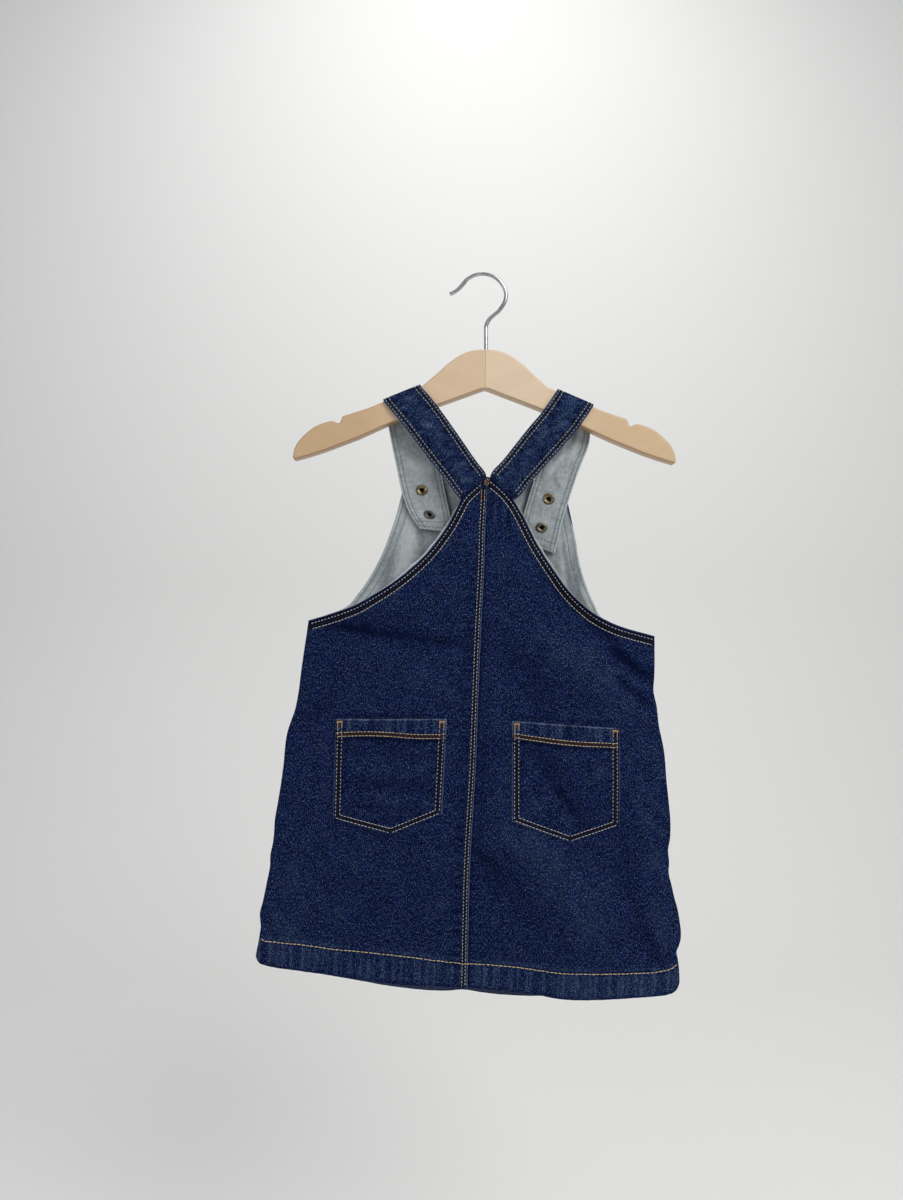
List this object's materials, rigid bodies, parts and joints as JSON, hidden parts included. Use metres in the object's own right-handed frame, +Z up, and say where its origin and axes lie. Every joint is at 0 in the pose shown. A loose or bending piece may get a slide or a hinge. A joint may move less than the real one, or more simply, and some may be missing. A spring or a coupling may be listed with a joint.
{
  "type": "denim pinafore dress on a hanger",
  "caption": "Toddler's denim pinafore dress, back view, hung flat by its shoulder straps on a flat wooden hanger with a steel hook; patch pockets and snap-fastened strap ends.",
  "frame": {"origin": "inner top of the hanger's hook, where a nail or rail holds it", "axes": "+Z up; the dress's back faces -Y and its bib faces +Y; +X is to the right of someone looking at the back"},
  "size_m": [0.3322, 0.0306, 0.5664],
  "materials": {
    "denim": "dark indigo denim, right side out",
    "lining": "light grey-blue woven facing",
    "snaps": "antique brass",
    "hanger_wood": "satin clear-coated beech",
    "hook_steel": "polished wire"
  },
  "bodies": {
    "root": {"back_left": "denim", "back_right": "denim", "front_panel": "denim", "centre_back_seam": "denim", "pocket_left": "denim", "pocket_right": "denim", "strap_left": "denim", "strap_right": "denim", "strap_lining_left": "lining", "strap_lining_right": "lining", "bib_lining": "lining", "back_facing": "lining", "snap_ring_left_upper": "snaps", "snap_ring_left_lower": "snaps", "snap_ring_right_upper": "snaps", "snap_ring_right_lower": "snaps", "snap_cap_left_upper": "snaps", "snap_cap_left_lower": "snaps", "snap_cap_right_upper": "snaps", "snap_cap_right_lower": "snaps", "hanger_left": "hanger_wood", "hanger_right": "hanger_wood", "hanger_hook": "hook_steel"}
  },
  "joints": []
}
